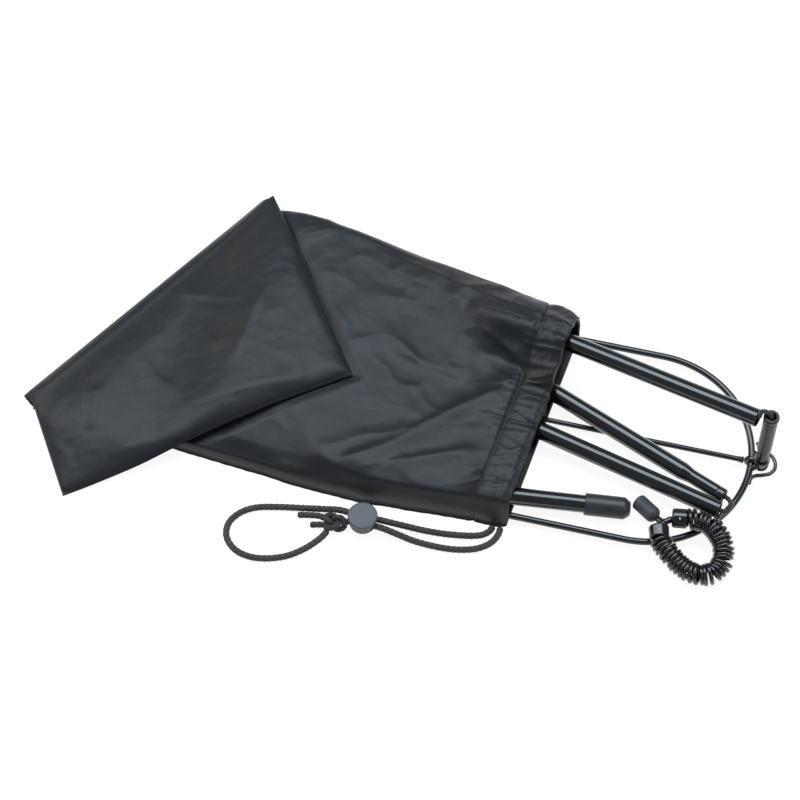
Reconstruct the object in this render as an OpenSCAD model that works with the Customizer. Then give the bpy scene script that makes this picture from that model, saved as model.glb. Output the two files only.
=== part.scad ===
// Wire-hoop frame with a folded shock-cord pole, part way out of its drawstring bag.
// Millimetres, +Z up, +X out of the bag's mouth along the hoop. The origin lies on the
// ground under the middle of the object, measured without the free cords.

/* [Bag] */
// Height of the bag over its contents, inside
bag_height = 21.6; // [21:0.2:24]
// Height of the empty bag beyond the contents, inside
bag_empty_height = 4.6; // [3:0.2:6]
// Thickness of the bag's cloth
cloth_t = 0.6; // [0.5:0.1:0.8]
// Width of the hem that holds the drawcord
hem_width = 20; // [16:1:22]
// Height of the hem, with the pressed cord in it
hem_height = 3.2; // [3:0.1:3.4]
// Radius of the roll where the closed end folds over
fold_r = 4.2; // [3.6:0.2:4.4]

/* [Hoop] */
// Diameter of the hoop wire
hoop_wire = 4.5; // [4:0.1:4.6]
// Radius of the hoop's round end, to the middle of the wire
hoop_r = 68.8; // [68:0.1:69]
// Diameter of the stay along the middle of the hoop
stay_wire = 3.5; // [3:0.1:3.6]
// Diameter of the loose clip wire
clip_wire = 2.5; // [2:0.1:2.5]

/* [Spigot] */
// Height of the spigot's top above the ground
spigot_top = 66; // [60:1:67]
// Outer diameter of the spigot's upper tube, which fits the pole's bore
spigot_d = 9.3; // [9:0.1:9.4]
// Outer diameter of the spigot's lower post
post_d = 7.9; // [7.5:0.1:8]
// Bore of the spigot's upper tube
spigot_bore = 5.8; // [5:0.1:6]

/* [Pole] */
// Outer diameter of the pole tubes
tube_d = 11.5; // [11:0.1:11.6]
// Wall of the pole tubes
tube_wall = 1; // [0.8:0.1:1.1]
// Length of a full pole section
section_len = 300; // [290:1:305]
// Length of the short tip section
tip_len = 145; // [140:1:146]
// Outer diameter of a swaged end, which fits the next tube
swage_d = 9.2; // [8.8:0.1:9.3]
// Length of a swaged end with its shoulder
swage_len = 31; // [25:1:35]
// Outer diameter of the sleeve on the tip section
sleeve_d = 14.2; // [13:0.1:15]
// Length of that sleeve
sleeve_len = 29; // [25:1:32]

/* [Cords] */
// Diameter of the braided drawcord
cord_d = 4; // [3.6:0.1:4.2]
// Diameter of the elastic shock cord
shock_d = 3; // [2.5:0.1:3.2]
// Outer diameter of the coiled tether
coil_d = 14.5; // [13:0.5:14.5]

/* [Cord lock] */
// Diameter of the lock's barrel
lock_d = 17; // [16:0.5:18]
// Diameter of the lock's button
button_d = 19; // [18:0.5:20]
// Travel of the button
button_travel = 1.8; // [1.5:0.1:1.8]

/* [Hidden] */
$fn = 48;
gap = 0.3;
tiny = 0.01;

// Corners of the bag in plan: the fold's far and near ends, the mouth's near and far ends
fold_far = [-128.5, 123.5];
fold_near = [-242, -61];
mouth_near = [81, -78.5];
mouth_far = [98.4, 73];
// Corners of the folded-over end in plan
flap_far = [-35.5, -7.5];
flap_near = [-197.5, -123.5];
// How far the long edges bow outwards
near_bow = 7;
far_bow = 6;
// How far the far edge steps in beside the fold
far_notch = 7;

// Ends of the pole sections' axes: the outer end first, then the direction in plan and the rise
outer_1 = [223.5, 1.1, 57];
turn_1 = 17.4;
drop_1 = 8.95;
outer_2 = [212.9, -33.9, 12.6];
turn_2 = 22.2;
drop_2 = -0.35;
outer_3 = [211.5, -44.8, 14.1];
turn_3 = 14;
drop_3 = 0.2;
outer_4 = [156.5, -54, 8];
turn_4 = -7.5;
drop_4 = -2.58;

hoop_c = [156.5, -6];
hoop_z = hem_height + gap + hoop_wire / 2;
hoop_rear_x = -100;
hoop_corner_r = 14;
stay_y = -1;
stay_z = hem_height + gap - 0.05 + stay_wire / 2;
post_xy = [231.5, -1];
apex_x = hoop_c[0] + sqrt(hoop_r * hoop_r - pow(stay_y - hoop_c[1], 2));

lock_c = [-6.5, -99.5];
cord_z = 6.3;

// Routes of the cords, chosen by hand
loop_route = [
  [74.5, -82.8, 2.5], [72.8, -87, 2.4], [69, -90.5, 2.3], [63.5, -92.5, 2.3], [56, -94, 2.3], [45, -95.5, 2.5],
  [32, -96.5, 3.4], [20, -97, 5], [8, -97.2, 6.2], [-2, -97, 6.3], [-12, -97, 6.3],
  [-22, -95.5, 5.2], [-34, -96.5, 3.4], [-48, -98.5, 2.4], [-62, -101, 2.2], [-75, -104.5, 2.2],
  [-84, -110.5, 2.2], [-89, -119, 2.2], [-88, -128.5, 2.2], [-81, -136, 2.2], [-71, -139, 2.2],
  [-60, -138, 2.2], [-48, -133.5, 2.2], [-38, -126, 2.4], [-30, -117, 3.2], [-26.5, -110.5, 4]
];
strand_route = [
  [79.2, -82.8, 2.5], [78.6, -88.5, 2.4], [76, -94, 2.3], [71, -98.8, 2.3], [64, -102.3, 2.3], [53, -104.8, 2.3],
  [41, -105.4, 2.3], [28, -105, 3], [16, -103.6, 5], [6, -102.3, 6.2], [-2, -102, 6.3],
  [-12, -102, 6.3], [-17.6, -103.5, 5.6]
];
tail_route_a = [[-29, -103.6, 4.6], [-34, -101.8, 3.6], [-40, -102, 2.6], [-48, -103.5, 2.2]];
tail_route_b = [[-29, -108, 4.4], [-33, -107.6, 3.2], [-38.5, -108.5, 2.2]];
coil_route = [
  [193, -57, 16], [200, -56.4, 16.5], [207, -57.8, 16], [213, -61.5, 14.4], [217.5, -67, 12.2],
  [219.6, -73.5, 10.2], [219, -80.5, 8.7], [215.5, -86, 8], [210, -89, 7.8], [203.5, -89.4, 7.8],
  [197, -87.3, 8.4], [190.8, -84, 10], [185, -80.2, 12.2], [180.6, -76.6, 14.2], [178.6, -74.2, 15.2]
];
clip_route = [
  [226.5, 15.5, 1.9], [229.5, 12.5, 1.9], [233.5, 10, 1.9], [238, 7.3, 1.9], [240.6, 3, 1.9],
  [240.75, -1.5, 1.9], [238.3, -5.2, 1.9], [233.8, -7.4, 1.9], [229.4, -9, 1.9],
  [227, -11.8, 1.9], [226.8, -16, 1.9]
];
spigot_link_route = [
  [217, 3.2, 55.9], [220.6, 2.1, 56.9], [223.9, 1, 59.4], [224.4, 0.8, 63.5], [225.2, 0.5, 67.2],
  [227.8, -0.2, 68.7], [230.6, -0.9, 67.6], [231.5, -1, 64.5], [231.5, -1, 60]
];
inner_link_route = [
  [-56, 88.6, 10.8], [-62, 90.6, 10.2], [-67, 92, 10.3], [-72.5, 91.8, 11.2], [-75.8, 88.2, 12.6],
  [-74.6, 84.2, 13.7], [-70.5, 81.8, 14.2], [-65, 79.5, 14.4], [-60.3, 77.6, 14.4]
];
outer_link_route = [
  [209.5, -32.5, 12.6], [213, -33.9, 12.6], [216, -35.6, 12.8], [217.8, -38.8, 13.2],
  [217.4, -42.6, 13.7], [214.6, -45.4, 14.1], [208.6, -44.1, 14.1]
];
tip_link_route = [
  [-76.2, 27, 13.1], [-82, 28.4, 13], [-89.5, 28.4, 12.9], [-96, 23.5, 12.8], [-97.8, 14, 12.8],
  [-95, 4, 12.6], [-87, -8, 12.6], [-72, -22, 12.8], [-48, -43, 13.2], [-24, -62, 13.8], [-8, -72, 14.4],
  [4, -75.4, 14.6], [12, -75, 14.5], [18, -74, 14.3]
];

function lerp(a, b, t) = a + (b - a) * t;
function soft_max(a, b, k) = (a + b + sqrt((a - b) * (a - b) + k * k)) / 2;
function soft_min(a, b, k) = (a + b - sqrt((a - b) * (a - b) + k * k)) / 2;
function clamp01(t) = min(1, max(0, t));
function ease(t) = let (c = clamp01(t)) c * c * (3 - 2 * c);
function unit(v) = v / norm(v);

// ---- Plan and height of the bag ----
fold_dir = unit(fold_far - fold_near);
fold_in = [fold_dir[1], -fold_dir[0]];
panel_start = 2 * fold_r + 0.2;

// A point of the main panels: s runs from the fold to the hem, t from the near to the far edge
function panel_xy(s, t) =
  let (
    left = lerp(fold_near, fold_far, t) + fold_in * panel_start,
    right = lerp(mouth_near, mouth_far, t) - [hem_width, 0],
    bow = (4 * s * (1 - s) * far_bow - far_notch * pow(1 - s, 12)) * t
      - 6.75 * s * s * (1 - s) * near_bow * (1 - t)
  )
  lerp(left, right, s) + [0, bow];
function hem_xy(w, t) = lerp(mouth_near, mouth_far, t) - [hem_width - w, 0];

// Height of the ridge where the first pole section lifts the cloth
function ridge_z(p) =
  let (
    a = [outer_1[0], outer_1[1]],
    along = [-cos(turn_1), sin(turn_1)],
    run = (p - a) * along,
    off = (p - a) * [sin(turn_1), cos(turn_1)]
  )
  outer_1[2] - run * tan(drop_1) + tube_d / 2 + 0.8
    - (off > 0 ? 0.5 : lerp(0.32, 0.75, ease((p[0] - 25) / 35))) * max(0, abs(off) - 5);

function base_z(p) = bag_empty_height + (bag_height - bag_empty_height) * ease((p[0] + 150) / 60);

// Rise of the cloth from the nearer long edge: steep beside the poles, gentle beyond their inner ends
function side_z(p, edge) =
  p[1] < 0 ?
    lerp(max(0, soft_min(7 * sqrt(edge), 9 + 0.28 * edge, 1)), 12 * sqrt(edge), ease((p[0] + 40) / 50)) :
    lerp(6.5, 12, ease((p[0] + 20) / 80)) * sqrt(edge);

// Underside of the top panel above a point that lies a given distance from the nearer long edge
function roof_z(p, edge) =
  cloth_t + soft_min(soft_max(base_z(p), ridge_z(p), 2), side_z(p, edge), 0.6 * min(1, edge));

function edge_of(p_near, p_far, t) = norm(p_far - p_near) * min(t, 1 - t);
function panel_roof(s, t) = roof_z(panel_xy(s, t), edge_of(panel_xy(s, 0), panel_xy(s, 1), t));
function hem_roof(w, t) = roof_z(hem_xy(w, t), edge_of(hem_xy(w, 0), hem_xy(w, 1), t));

// Steps that crowd towards both ends, where the cloth turns down steeply
function crowded(j, n) = (1 - cos(180 * j / n)) / 2;

// A grid of points moved outwards, square to its surface
function grid_normal(g, i, j) =
  let (
    du = g[min(i + 1, len(g) - 1)][j] - g[max(i - 1, 0)][j],
    dv = g[i][min(j + 1, len(g[0]) - 1)] - g[i][max(j - 1, 0)],
    n = unit(cross(du, dv))
  )
  n[2] < 0 ? -n : n;
function moved_out(g, by) =
  [for (i = [0:len(g) - 1]) [for (j = [0:len(g[0]) - 1]) g[i][j] + grid_normal(g, i, j) * by]];

// A thin solid between two grids of points with rows of the same length
module between(low, high) {
  rows = len(low);
  cols = len(low[0]);
  count = rows * cols;
  points = concat([for (r = low) for (p = r) p], [for (r = high) for (p = r) p]);
  function at(i, j) = i * cols + j;
  under = [for (i = [0:rows - 2]) for (j = [0:cols - 2])
    [at(i, j), at(i, j + 1), at(i + 1, j + 1), at(i + 1, j)]];
  over = [for (f = under) [f[3] + count, f[2] + count, f[1] + count, f[0] + count]];
  rim = concat(
    [for (j = [0:cols - 2]) [at(0, j), at(0, j + 1)]],
    [for (i = [0:rows - 2]) [at(i, cols - 1), at(i + 1, cols - 1)]],
    [for (j = [cols - 1:-1:1]) [at(rows - 1, j), at(rows - 1, j - 1)]],
    [for (i = [rows - 1:-1:1]) [at(i, 0), at(i - 1, 0)]]
  );
  sides = [for (e = rim) [e[1], e[0], e[0] + count, e[1] + count]];
  quads = concat(under, over, sides);
  faces = [for (q = quads) for (k = [0, 1]) k == 0 ? [q[0], q[1], q[2]] : [q[0], q[2], q[3]]];
  polyhedron(points, [for (f = faces) [f[2], f[1], f[0]]]);
}

// A tube of a given diameter along a route, with flat ends
function turned(v, axis, a) = v * cos(a) + cross(axis, v) * sin(a) + axis * (axis * v) * (1 - cos(a));
function route_dir(r, i) = unit(r[min(i + 1, len(r) - 1)] - r[max(i - 1, 0)]);
function route_side(r, i) =
  let (d = route_dir(r, i), v = cross(d, [0, 0, 1]))
  norm(v) > 0.2 ? unit(v) : unit(cross(d, [0, 1, 0]));
module cord(route, d, sides = 8) {
  rings = [for (i = [0:len(route) - 1]) [for (k = [0:sides - 1])
    route[i] + turned(route_side(route, i), route_dir(route, i), 360 * (k + 0.5) / sides) * d / 2]];
  n = len(route);
  walls = [for (i = [0:n - 2]) for (k = [0:sides - 1]) for (h = [0, 1])
    let (a = i * sides + k, b = i * sides + (k + 1) % sides)
    h == 0 ? [a, b, b + sides] : [a, b + sides, a + sides]];
  caps = [[for (k = [sides - 1:-1:0]) k], [for (k = [0:sides - 1]) (n - 1) * sides + k]];
  polyhedron([for (r = rings) for (p = r) p], concat(walls, caps));
}

// Places a child made along +Z so that it runs inwards from a pole section's outer end
module along_pole(outer, turn, drop) {
  translate(outer)
    rotate([0, 0, 180 - turn])
      rotate([0, 90 + drop, 0])
        children();
}

// ---- Bag ----
module bag_top_panel() {
  rows = [for (i = [0:15]) [for (j = [0:40]) let (s = i / 15, t = crowded(j, 40))
    concat(panel_xy(s, t), panel_roof(s, t))]];
  color([0.17, 0.18, 0.19])
    between(rows, moved_out(rows, cloth_t));
}

module bag_bottom_panel() {
  steps = 15;
  outline = concat(
    [for (i = [0:steps]) panel_xy(i / steps, 0)],
    [for (i = [steps:-1:0]) panel_xy(i / steps, 1)]
  );
  color([0.15, 0.16, 0.17])
    linear_extrude(cloth_t)
      polygon(outline);
}

hem_cloth = 0.5;
hem_steps = 40;
function hem_grid(w0, w1, t0, t1, lift) =
  moved_out([for (w = [w0, (w0 + w1) / 2, w1]) [for (j = [0:hem_steps])
    let (t = lerp(t0, t1, crowded(j, hem_steps)))
    concat(hem_xy(w, t), hem_roof(w, t))]], lift);
function flat_grid(w0, w1, t0, t1, z) =
  [for (w = [w0, w1]) [for (t = [t0, t1]) concat(hem_xy(w, t), z)]];

module hem_upper() {
  color([0.17, 0.18, 0.19])
    difference() {
      between(hem_grid(tiny, hem_width, 0, 1, 0), hem_grid(tiny, hem_width, 0, 1, hem_height));
      between(
        hem_grid(1.5, hem_width - 1.5, 0.03, 0.97, hem_cloth),
        hem_grid(1.5, hem_width - 1.5, 0.03, 0.97, hem_height - hem_cloth)
      );
    }
}

module hem_lower() {
  color([0.15, 0.16, 0.17])
    difference() {
      between(flat_grid(0, hem_width, 0.03, 0.97, 0), flat_grid(0, hem_width, 0.03, 0.97, hem_height));
      between(
        flat_grid(1.5, hem_width - 1.5, 0.04, 0.96, hem_cloth),
        flat_grid(1.5, hem_width - 1.5, 0.04, 0.96, hem_height - hem_cloth)
      );
    }
}

// The drawcord's run inside the hem, pressed flat
module hem_cord_run() {
  color([0.05, 0.05, 0.06]) {
    between(
      hem_grid(10, 14, 0.09, 0.91, hem_cloth + 0.5),
      hem_grid(10, 14, 0.09, 0.91, hem_height - hem_cloth - 0.5)
    );
    between(
      flat_grid(10, 14, 0.07, 0.93, hem_cloth + 0.4),
      flat_grid(10, 14, 0.07, 0.93, hem_height - hem_cloth - 0.4)
    );
  }
}

module fold_roll() {
  start = fold_near + fold_in * fold_r;
  color([0.17, 0.18, 0.19])
    translate([start[0], start[1], fold_r])
      rotate([0, 0, atan2(fold_dir[1], fold_dir[0])])
        rotate([0, 90, 0])
          cylinder(r = fold_r, h = norm(fold_far - fold_near));
}

// The folded-over end: s runs from the fold to the end seam, t from the near to the far edge
function flap_xy(s, t) =
  let (left = lerp(fold_near, fold_far, t) + fold_in * panel_start)
  lerp(left, lerp(flap_near, flap_far, t), s);
// Height of the bag's top under the folded-over end, and the ground beside the bag
function flap_rest_z(p) =
  let (
    near_edge = -73 - 0.055 * (p[0] + 242),
    inside = p[1] - near_edge,
    roof = roof_z(p, max(0, inside)) + cloth_t,
    beside = ease((-inside + 4) / 42)
  )
  inside > 0 ? max(roof, lerp(10, bag_empty_height, ease((-p[0] - 80) / 70)) * (1 - beside)) :
    lerp(lerp(10, bag_empty_height, ease((-p[0] - 80) / 70)), 0, beside);
function flap_grid(lift) =
  [for (i = [0:14]) [for (j = [0:20]) let (p = flap_xy(i / 14, j / 20))
    concat(p, flap_rest_z(p) + 1.2 + lift)]];

module flap_inner_panel() {
  color([0.15, 0.16, 0.17])
    between(flap_grid(0), flap_grid(cloth_t));
}

module flap_outer_panel() {
  color([0.17, 0.18, 0.19])
    between(flap_grid(cloth_t + 0.5), flap_grid(2 * cloth_t + 0.5));
}

module flap_end_seam() {
  rows = [for (s = [1.001, 1.012]) [for (j = [0:20]) let (p = flap_xy(s, j / 20))
    concat(p, flap_rest_z(flap_xy(1, j / 20)) + 1.2)]];
  color([0.12, 0.12, 0.13])
    between(rows, [for (r = rows) [for (p = r) p + [0, 0, 2 * cloth_t + 0.5]]]);
}

// ---- Hoop, stay and spigot ----
module wire_arc(centre, r, from, sweep, d) {
  translate([centre[0], centre[1], hoop_z])
    rotate([0, 0, from])
      rotate_extrude(angle = sweep, $fn = 96)
        translate([r, 0])
          circle(d = d, $fn = 32);
}
module wire_run(from_x, to_x, y) {
  translate([from_x, y, hoop_z])
    rotate([0, 90, 0])
      cylinder(d = hoop_wire, h = to_x - from_x, $fn = 32);
}

// The joint between the two bent wires of the hoop lies inside the bag
hoop_joint_x = 40;
module hoop_wire_front() {
  color([0.03, 0.03, 0.035]) {
    wire_arc(hoop_c, hoop_r, -90, 180, hoop_wire);
    for (side = [-1, 1])
      wire_run(hoop_joint_x, hoop_c[0], hoop_c[1] + side * hoop_r);
  }
}
module hoop_wire_rear() {
  color([0.03, 0.03, 0.035]) {
    for (side = [-1, 1]) {
      wire_run(hoop_rear_x + hoop_corner_r, hoop_joint_x, hoop_c[1] + side * hoop_r);
      wire_arc([hoop_rear_x + hoop_corner_r, hoop_c[1] + side * (hoop_r - hoop_corner_r)],
        hoop_corner_r, side > 0 ? 90 : 180, 90, hoop_wire);
    }
    translate([hoop_rear_x, hoop_c[1] - hoop_r + hoop_corner_r, hoop_z])
      rotate([-90, 0, 0])
        cylinder(d = hoop_wire, h = 2 * (hoop_r - hoop_corner_r), $fn = 32);
  }
}

stay_front = apex_x - 4.6;
module centre_stay() {
  start = hoop_rear_x + hoop_wire / 2;
  color([0.03, 0.03, 0.035])
    translate([start, stay_y, stay_z])
      rotate([0, 90, 0])
        cylinder(d = stay_wire, h = stay_front - start, $fn = 32);
}

// The eye at the stay's front end, closed round the hoop wire
module stay_eye() {
  color([0.03, 0.03, 0.035])
    difference() {
      translate([apex_x, stay_y, hoop_z])
        rotate([90, 0, 0])
          difference() {
            cylinder(d = 9.2, h = 4, center = true);
            cylinder(d = hoop_wire + 0.2, h = 5, center = true);
          }
      translate([post_xy[0], post_xy[1], 0])
        cylinder(d = post_d + 0.4, h = 20);
    }
}

// The saddle that joins the post to the hoop on both sides of the stay's eye
module spigot_bracket() {
  color([0.04, 0.04, 0.045])
    difference() {
      translate([0, 0, 3.5])
        linear_extrude(9)
          union() {
            for (side = [-1, 1])
              translate([apex_x - 3, stay_y + side * 4.6 - 2])
                square([6.5, 4]);
            translate([apex_x + 4.9, stay_y - 6.6])
              square([6, 13.2]);
            for (side = [-1, 1])
              translate([apex_x, stay_y + side * 4.6 - 2])
                square([6, 4]);
          }
      wire_arc(hoop_c, hoop_r, -20, 40, hoop_wire + 0.02);
      translate([post_xy[0], post_xy[1], 0])
        cylinder(d = post_d + 0.02, h = 30);
    }
}

post_step = 24;
module spigot_post() {
  color([0.12, 0.12, 0.13])
    translate([post_xy[0], post_xy[1], 0])
      rotate_extrude()
        polygon([[0, 1], [post_d / 2 - 1.6, 1], [post_d / 2 - 0.5, 1.5], [post_d / 2, 2.6],
          [post_d / 2, post_step - 1], [0, post_step - 1]]);
}
module spigot_tube() {
  r = spigot_d / 2;
  bore = spigot_bore / 2;
  color([0.1, 0.1, 0.11])
    translate([post_xy[0], post_xy[1], 0])
      rotate_extrude()
        polygon([[0, post_step - 1], [post_d / 2, post_step - 1], [r - 0.3, post_step + 1], [r, post_step + 1.6],
          [r, spigot_top - 3.4], [r + 0.35, spigot_top - 2.8], [r + 0.35, spigot_top - 0.6],
          [r - 0.1, spigot_top], [bore, spigot_top], [bore, post_step + 6], [0, post_step + 6]]);
}
module wire_clip() {
  color([0.03, 0.03, 0.035])
    cord(clip_route, clip_wire);
}

// ---- Pole sections, with z = 0 at the outer end and +z running inwards ----
bore_r = tube_d / 2 - tube_wall;
module plain_profile(len, swage_in) {
  r = tube_d / 2;
  end = swage_in ? len - swage_len : len;
  polygon(concat(
    [[bore_r, 0], [r, 0], [r, end]],
    swage_in ? [[swage_d / 2, end + 6], [swage_d / 2, len], [swage_d / 2 - 1, len],
      [swage_d / 2 - 1, end + 6]] : [],
    [[bore_r, end]]
  ));
}
module pole_section_1() {
  color([0.03, 0.03, 0.035])
    along_pole(outer_1, turn_1, drop_1)
      rotate_extrude()
        plain_profile(section_len, true);
}
module pole_section_2() {
  r = tube_d / 2;
  tip = swage_d / 2;
  color([0.03, 0.03, 0.035])
    along_pole(outer_2, turn_2, drop_2)
      rotate_extrude()
        polygon([[tip - 1, 0], [tip - 0.4, 0], [tip, 0.8], [tip, swage_len - 6], [r, swage_len],
          [r, section_len], [bore_r, section_len], [bore_r, swage_len], [tip - 1, swage_len - 6]]);
}
module pole_section_3() {
  color([0.03, 0.03, 0.035])
    along_pole(outer_3, turn_3, drop_3)
      rotate_extrude()
        plain_profile(section_len, true);
}
module pole_section_4() {
  color([0.03, 0.03, 0.035])
    along_pole(outer_4, turn_4, drop_4)
      rotate_extrude()
        translate([0, 4])
          plain_profile(tip_len - 4, false);
}
module tip_sleeve() {
  r = sleeve_d / 2;
  inner = tube_d / 2 + 0.05;
  color([0.06, 0.06, 0.065])
    along_pole(outer_4, turn_4, drop_4)
      rotate_extrude()
        polygon([[1.6, 0], [r - 2.4, 0], [r - 0.8, 0.8], [r, 2.6], [r, sleeve_len - 0.6],
          [r - 0.5, sleeve_len], [inner, sleeve_len], [inner, 3.8], [1.6, 3.8]]);
}

// The elastic inside each section
module inside_pole(outer, turn, drop, from, to) {
  color([0.05, 0.05, 0.055])
    along_pole(outer, turn, drop)
      translate([0, 0, from])
        cylinder(d = shock_d, h = to - from, $fn = 24);
}
module shock_cord_1() { inside_pole(outer_1, turn_1, drop_1, 8, section_len - 4); }
module shock_cord_2() { inside_pole(outer_2, turn_2, drop_2, 4, section_len - 6); }
module shock_cord_3() { inside_pole(outer_3, turn_3, drop_3, 4, section_len - 4); }
module shock_cord_4() { inside_pole(outer_4, turn_4, drop_4, 5, tip_len - 6); }

module shock_link(route) {
  color([0.05, 0.05, 0.055])
    cord(route, shock_d);
}
module shock_link_spigot() { shock_link(spigot_link_route); }
module shock_link_inner() { shock_link(inner_link_route); }
module shock_link_outer() { shock_link(outer_link_route); }
module shock_link_tip() { shock_link(tip_link_route); }

// ---- Tether ----
module from_to(a, b) {
  d = b - a;
  translate(a)
    rotate([0, 0, atan2(d[1], d[0])])
      rotate([0, acos(d[2] / norm(d)), 0])
        children();
}
boot_start = [160.8, -48.4, 9.5];
boot_end = [174.6, -59.6, 13.2];
module tether_boot() {
  color([0.07, 0.07, 0.075])
    from_to(boot_start, boot_end)
      rotate_extrude()
        polygon([[0, 0], [5, 0], [5.3, 0.4], [5.3, 13.5], [4.6, 15.6], [2.8, 17.2], [1.9, 17.6], [0, 17.6]]);
}
link_end = [178.6, -62.9, 15.2];
module tether_link() {
  color([0.05, 0.05, 0.055])
    from_to(boot_end + unit(boot_end - boot_start) * -0.2, link_end)
      cylinder(d = 3.4, h = norm(link_end - boot_end) - 1.4, $fn = 24);
}
module collar(a, b, d) {
  l = norm(b - a);
  color([0.05, 0.05, 0.055])
    from_to(a, b)
      rotate_extrude()
        polygon([[0, 0], [d / 2 - 1.2, 0], [d / 2, 1.2], [d / 2, l - 0.4], [d / 2 - 0.4, l], [0, l]]);
}
module tether_collar_a() { collar([176.4, -65.9, 15.6], [178.6, -74, 15.3], 13); }
module tether_collar_b() { collar([183.4, -58.2, 15.6], [192.8, -57, 16], 12.4); }
module tether_coil() {
  color([0.04, 0.04, 0.045])
    cord(coil_route, coil_d, 12);
}

// ---- Drawcord and its lock ----
module drawcord_loop() {
  color([0.05, 0.05, 0.06])
    cord(loop_route, cord_d);
}
module drawcord_strand() {
  color([0.05, 0.05, 0.06])
    cord(strand_route, cord_d);
}
module drawcord_knot() {
  color([0.05, 0.05, 0.06])
    translate([-23.2, -105.6, 5.6])
      hull() {
        translate([2, 1, 0])
          sphere(r = 4.6, $fn = 20);
        translate([-2, -1, 0])
          sphere(r = 4.6, $fn = 20);
      }
}
module drawcord_tails() {
  color([0.05, 0.05, 0.06]) {
    cord(tail_route_a, cord_d);
    cord(tail_route_b, cord_d);
  }
}

lock_top = 9.4;
slot_w = 10.6;
slot_z = 4.1;
slot_h = 4.4;
module at_lock() {
  translate([lock_c[0], lock_c[1], 0])
    children();
}
module lock_barrel() {
  color([0.2, 0.21, 0.22])
    at_lock()
      difference() {
        rotate_extrude()
          polygon([[0, 0.3], [lock_d / 2 - 3, 0.3], [lock_d / 2 - 1, 1.4], [lock_d / 2, 3.2],
            [lock_d / 2, lock_top - 0.4], [lock_d / 2 - 0.4, lock_top], [0, lock_top]]);
        translate([0, 0, 1.5])
          cylinder(d = 13, h = lock_top);
        translate([-lock_d, -slot_w / 2, slot_z])
          cube([2 * lock_d, slot_w, slot_h]);
      }
}
module lock_button() {
  head_z = lock_top + 0.1 + button_travel;
  r = button_d / 2;
  color([0.24, 0.25, 0.27])
    at_lock()
      difference() {
        rotate_extrude()
          polygon([[0, 3.9], [6.3, 3.9], [6.3, head_z], [lock_d / 2 + 0.3, head_z],
            [lock_d / 2 + 0.3, head_z - 1.1], [r, head_z - 1.1], [r, head_z + 0.7], [r - 0.5, head_z + 1.3],
            [r - 1.4, head_z + 1.5], [0, head_z + 1.5]]);
        translate([-lock_d, -slot_w / 2, 0])
          cube([2 * lock_d, slot_w, slot_z + slot_h + button_travel]);
      }
}
module lock_spring() {
  color([0.6, 0.6, 0.62])
    at_lock()
      translate([0, 0, 1.6])
        rotate_extrude()
          translate([4.6, 0])
            square([1.4, 2.2]);
}

bag_top_panel();
bag_bottom_panel();
hem_upper();
hem_lower();
hem_cord_run();
fold_roll();
flap_inner_panel();
flap_outer_panel();
flap_end_seam();
hoop_wire_front();
hoop_wire_rear();
centre_stay();
stay_eye();
spigot_bracket();
spigot_post();
spigot_tube();
wire_clip();
pole_section_1();
pole_section_2();
pole_section_3();
pole_section_4();
shock_cord_1();
shock_cord_2();
shock_cord_3();
shock_cord_4();
shock_link_spigot();
shock_link_inner();
shock_link_outer();
shock_link_tip();
tip_sleeve();
tether_boot();
tether_link();
tether_collar_a();
tether_collar_b();
tether_coil();
drawcord_loop();
drawcord_strand();
drawcord_knot();
drawcord_tails();
lock_barrel();
lock_button();
lock_spring();
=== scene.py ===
"""Drawstring bag with its end folded over, holding a wire-hoop frame, a folded pole and a coiled tether.
Metres, in the CAD frame. Shapes are worked out in millimetres and scaled when the mesh is made."""

from math import cos, pi, radians, sin, sqrt, tan

import bpy
import numpy as np
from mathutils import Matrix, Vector, noise


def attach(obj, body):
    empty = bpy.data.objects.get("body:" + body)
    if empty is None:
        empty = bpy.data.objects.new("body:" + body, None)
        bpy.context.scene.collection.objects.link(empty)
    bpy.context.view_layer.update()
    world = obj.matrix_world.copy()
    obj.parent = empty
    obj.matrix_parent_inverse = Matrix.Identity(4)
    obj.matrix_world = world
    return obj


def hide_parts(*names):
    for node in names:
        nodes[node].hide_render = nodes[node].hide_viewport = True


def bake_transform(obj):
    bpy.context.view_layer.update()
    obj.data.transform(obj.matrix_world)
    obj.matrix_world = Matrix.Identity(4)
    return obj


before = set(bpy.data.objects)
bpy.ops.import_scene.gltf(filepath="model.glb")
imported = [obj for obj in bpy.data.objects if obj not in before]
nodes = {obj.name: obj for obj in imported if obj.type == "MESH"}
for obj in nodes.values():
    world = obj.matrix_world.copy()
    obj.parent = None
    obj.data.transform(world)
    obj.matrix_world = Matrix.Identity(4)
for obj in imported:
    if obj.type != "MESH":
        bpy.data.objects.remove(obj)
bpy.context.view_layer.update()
scene = bpy.context.scene
MM = 0.001

# ---- Camera ----
camera_data = bpy.data.cameras.new("camera")
camera_data.lens = 124.6
camera_data.sensor_width = 36
camera_data.clip_end = 20
camera = bpy.data.objects.new("camera", camera_data)
scene.collection.objects.link(camera)
camera.location = (0.2025, -0.8814, 1.5588)
camera.rotation_euler = (Vector((-0.0045, -0.0055, 0)) - camera.location).to_track_quat("-Z", "Y").to_euler()
scene.camera = camera


# ---- Small helpers ----
def mix(a, b, t):
    return a + (b - a) * t


def ease(t):
    t = np.clip(t, 0, 1)
    return t * t * (3 - 2 * t)


def soft_max(a, b, k):
    return (a + b + np.sqrt((a - b) ** 2 + k * k)) / 2


def soft_min(a, b, k):
    return (a + b - np.sqrt((a - b) ** 2 + k * k)) / 2


def hills(x, y, size, seed, octaves=3):
    """Smooth noise over a plan grid, from about -1 to 1, with features of the given size."""
    out = np.empty(x.shape)
    flat = out.reshape(-1)
    for i, (a, b) in enumerate(zip(x.reshape(-1), y.reshape(-1))):
        flat[i] = noise.fractal((a / size, b / size, seed * 7.3), 1.0, 2.0, octaves)
    return out


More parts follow.
